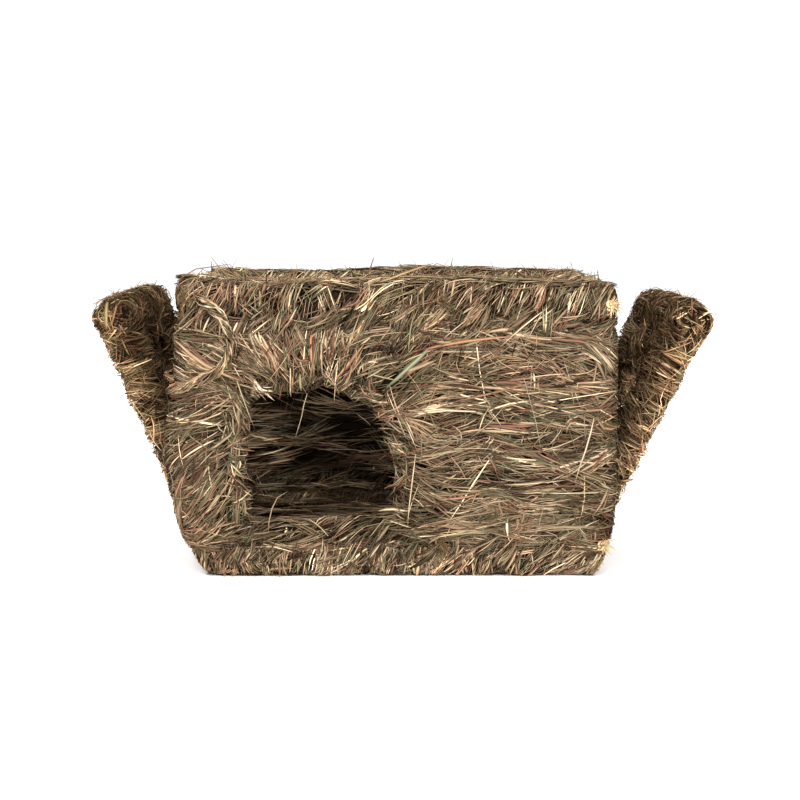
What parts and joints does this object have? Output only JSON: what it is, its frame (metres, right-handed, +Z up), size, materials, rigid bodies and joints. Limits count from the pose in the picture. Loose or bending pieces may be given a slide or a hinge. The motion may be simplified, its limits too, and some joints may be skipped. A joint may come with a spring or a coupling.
{
  "type": "folding grass hideaway",
  "caption": "Box-shaped pet hideaway of dried grass wound and woven on wire loops, with an arched front door and a hinged flap with a doorway at each end.",
  "frame": {"origin": "centre of the floor panel's underside, on the ground", "axes": "+X along the hut's length, to the right as the door is faced; +Y from the door side to the back; +Z up"},
  "size_m": [0.5682, 0.28, 0.27],
  "materials": {
    "grass_roll": "matte",
    "woven_grass": "matte",
    "grass_cord": "matte",
    "steel_wire": "satin"
  },
  "bodies": {
    "hut": {"floor_wire": "steel_wire", "floor_front_roll": "grass_roll", "floor_back_roll": "grass_roll", "floor_left_roll": "grass_roll", "floor_right_roll": "grass_roll", "floor_mat": "woven_grass", "front_wire": "steel_wire", "front_bottom_roll": "grass_roll", "front_top_roll": "grass_roll", "front_left_roll": "grass_roll", "front_right_roll": "grass_roll", "front_mat": "woven_grass", "front_door_edge_roll": "grass_roll", "front_door_wire": "steel_wire", "back_wire": "steel_wire", "back_bottom_roll": "grass_roll", "back_top_roll": "grass_roll", "back_left_roll": "grass_roll", "back_right_roll": "grass_roll", "back_mat": "woven_grass", "roof_wire": "steel_wire", "roof_front_roll": "grass_roll", "roof_back_roll": "grass_roll", "roof_left_roll": "grass_roll", "roof_right_roll": "grass_roll", "roof_mat": "woven_grass", "tie_floor_front_left": "grass_cord", "tie_floor_front_middle": "grass_cord", "tie_floor_front_right": "grass_cord", "tie_roof_front_left": "grass_cord", "tie_roof_front_middle": "grass_cord", "tie_roof_front_right": "grass_cord", "tie_floor_back_left": "grass_cord", "tie_floor_back_middle": "grass_cord", "tie_floor_back_right": "grass_cord", "tie_roof_back_left": "grass_cord", "tie_roof_back_middle": "grass_cord", "tie_roof_back_right": "grass_cord", "tie_left_flap_front": "grass_cord", "tie_left_flap_rear": "grass_cord", "tie_right_flap_front": "grass_cord", "tie_right_flap_rear": "grass_cord"},
    "left_flap": {"left_flap_wire": "steel_wire", "left_flap_bottom_roll": "grass_roll", "left_flap_top_roll": "grass_roll", "left_flap_front_roll": "grass_roll", "left_flap_rear_roll": "grass_roll", "left_flap_mat": "woven_grass"},
    "right_flap": {"right_flap_wire": "steel_wire", "right_flap_bottom_roll": "grass_roll", "right_flap_top_roll": "grass_roll", "right_flap_front_roll": "grass_roll", "right_flap_rear_roll": "grass_roll", "right_flap_mat": "woven_grass"}
  },
  "joints": [
    {"name": "left_flap_hinge", "type": "hinge", "parent": "hut", "child": "left_flap", "pos_m": [-0.181, 0, 0.0465], "axis": [0, -1, 0], "range_deg": [-12.2, 67]},
    {"name": "right_flap_hinge", "type": "hinge", "parent": "hut", "child": "right_flap", "pos_m": [0.181, 0, 0.0465], "axis": [0, 1, 0], "range_deg": [-15.2, 64]}
  ]
}
